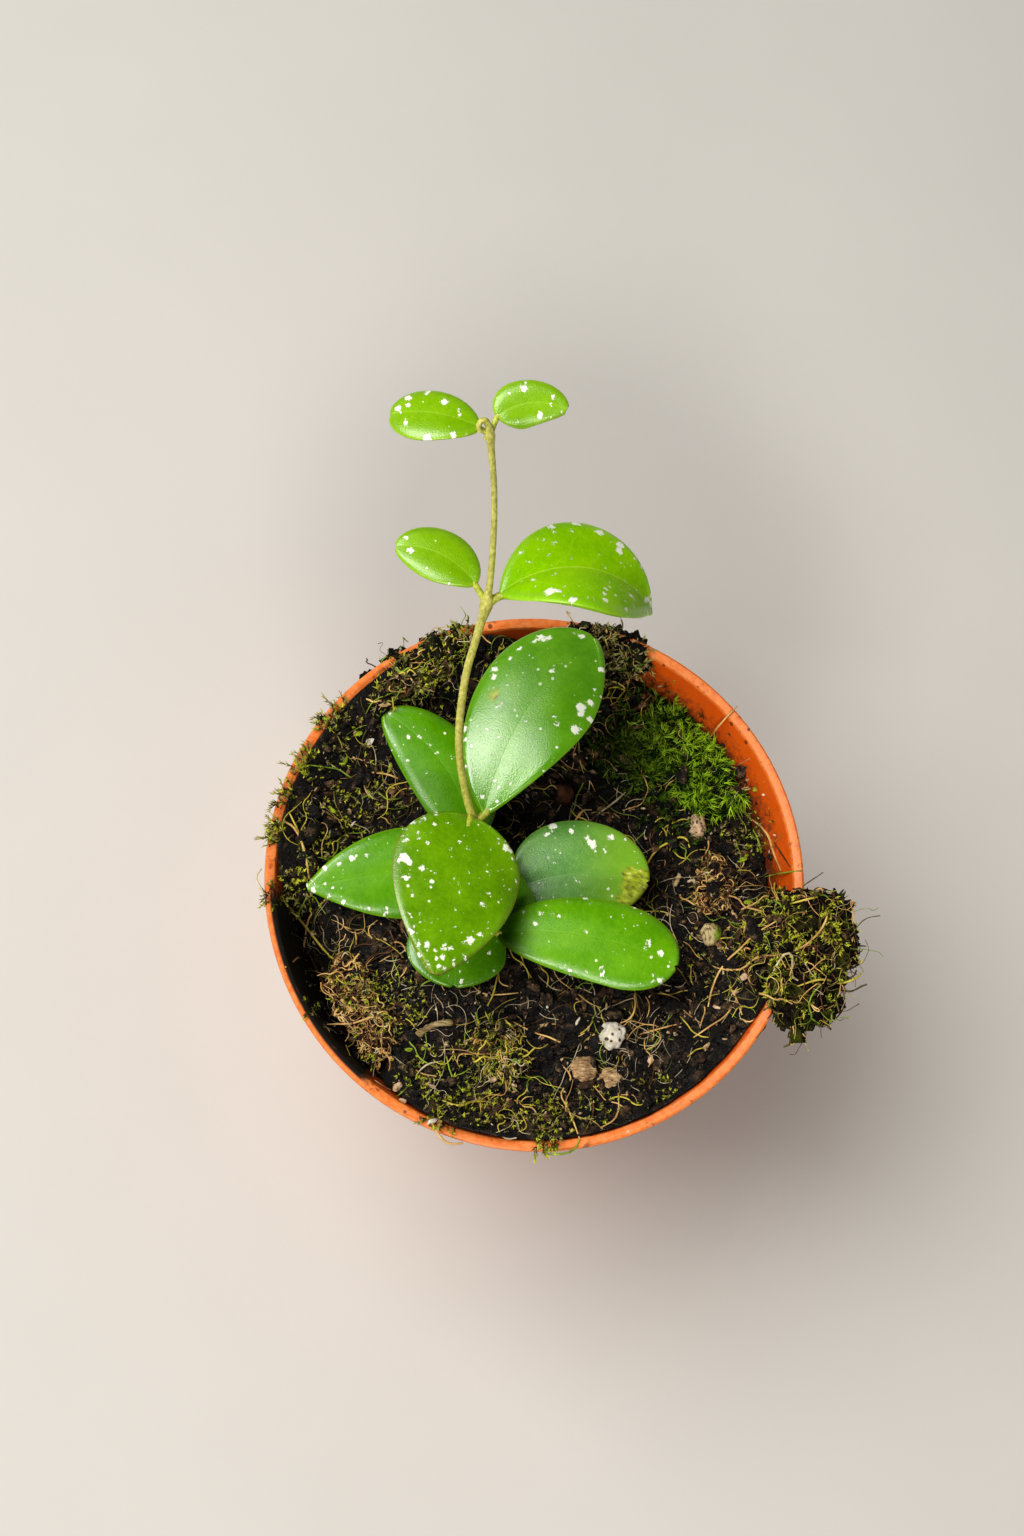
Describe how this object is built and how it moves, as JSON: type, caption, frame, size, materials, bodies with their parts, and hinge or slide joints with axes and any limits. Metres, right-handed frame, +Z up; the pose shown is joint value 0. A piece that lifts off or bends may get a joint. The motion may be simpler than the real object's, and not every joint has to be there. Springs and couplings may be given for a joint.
{
  "type": "potted hoya",
  "caption": "Young splashed hoya vine and a shorter cutting, with thick oval leaves, in a round terracotta-coloured nursery pot filled with mossy potting mix.",
  "frame": {"origin": "centre of the pot's flat underside", "axes": "+Z up along the pot's axis, +Y towards the far side that the vine leans over, +X to the right in the picture, where the moss clod hangs over the rim"},
  "size_m": [0.116, 0.1185, 0.1783],
  "materials": {
    "pot_plastic": "satin",
    "potting_mix": "matte",
    "stem": "satin",
    "leaf": "satin",
    "moss": "matte",
    "star_moss": "matte",
    "coir_fibre": "matte",
    "perlite": "matte",
    "bark": "matte"
  },
  "bodies": {
    "root": {"pot": "pot_plastic", "potting_soil": "potting_mix", "vine_stem": "stem", "cutting_stem": "stem", "leaf_top_left": "leaf", "leaf_top_right": "leaf", "leaf_middle_left": "leaf", "leaf_middle_right": "leaf", "leaf_centre_large": "leaf", "leaf_behind_stem": "leaf", "leaf_hidden": "leaf", "leaf_front_large": "leaf", "leaf_left_pointed": "leaf", "leaf_right_round": "leaf", "leaf_right_long": "leaf", "leaf_front_low": "leaf", "moss_clod_overhang": "moss", "moss_mat_back": "moss", "moss_mat_back_left": "moss", "star_moss_cushion": "star_moss", "fibre_mat_left": "coir_fibre", "moss_tangle_front": "moss", "coir_lump": "coir_fibre", "perlite_grain": "perlite", "pebble": "coir_fibre", "pale_crumb": "perlite", "seed_husk": "bark", "bark_chip_left": "bark", "bark_chip_right": "bark", "dry_leaf_flake": "leaf", "twig": "bark"}
  },
  "joints": []
}
